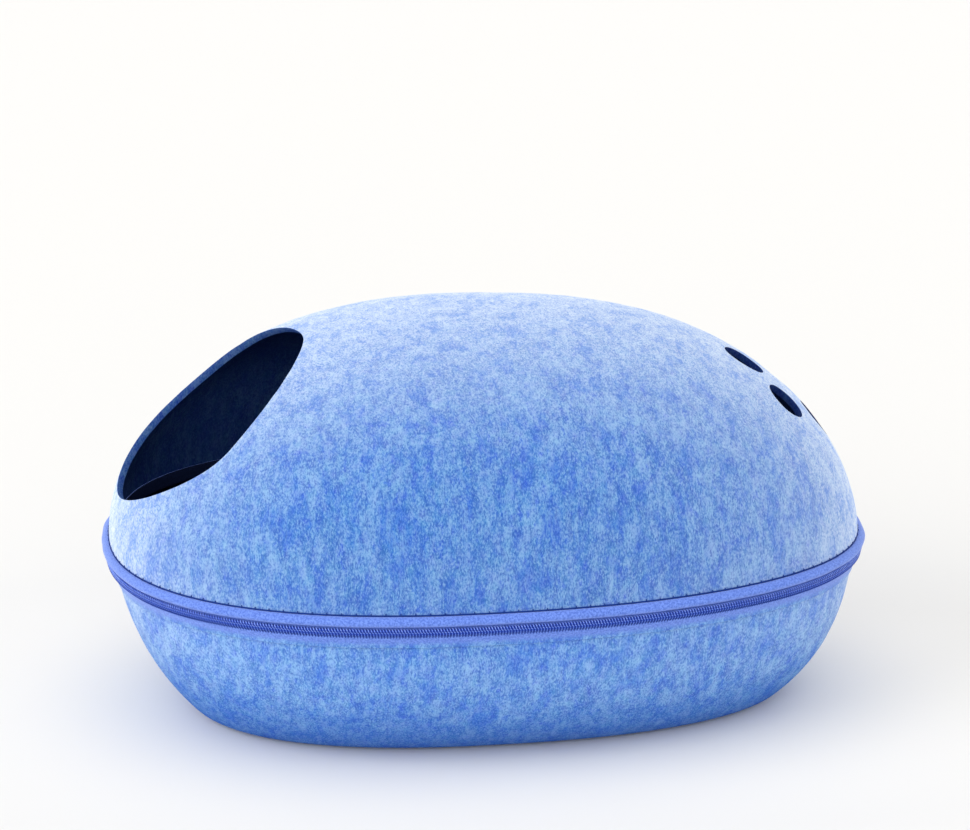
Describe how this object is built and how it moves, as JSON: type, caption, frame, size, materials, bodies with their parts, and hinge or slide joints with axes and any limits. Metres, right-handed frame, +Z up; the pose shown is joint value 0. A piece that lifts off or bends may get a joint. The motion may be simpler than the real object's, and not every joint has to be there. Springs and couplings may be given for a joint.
{
  "type": "cat cave bed",
  "caption": "Egg-shaped cat cave bed of moulded felt: a dome with a round entrance and round vents, zipped to a bowl with a flat base.",
  "frame": {"origin": "middle of the flat base, on the floor", "axes": "+X from the entrance towards the vents, +Y across, +Z up"},
  "size_m": [0.5096, 0.3536, 0.2675],
  "materials": {
    "blue_felt": "matt heathered needle felt",
    "zip_tape": "woven polyester tape",
    "zip_coil": "satin nylon coil",
    "zip_enamel": "satin enamel"
  },
  "bodies": {
    "root": {"dome_shell": "blue_felt", "bowl_shell": "blue_felt", "zip_tape_upper": "zip_tape", "zip_tape_lower": "zip_tape", "zip_chain": "zip_coil", "zip_slider": "zip_enamel", "zip_pull": "zip_enamel"}
  },
  "joints": []
}
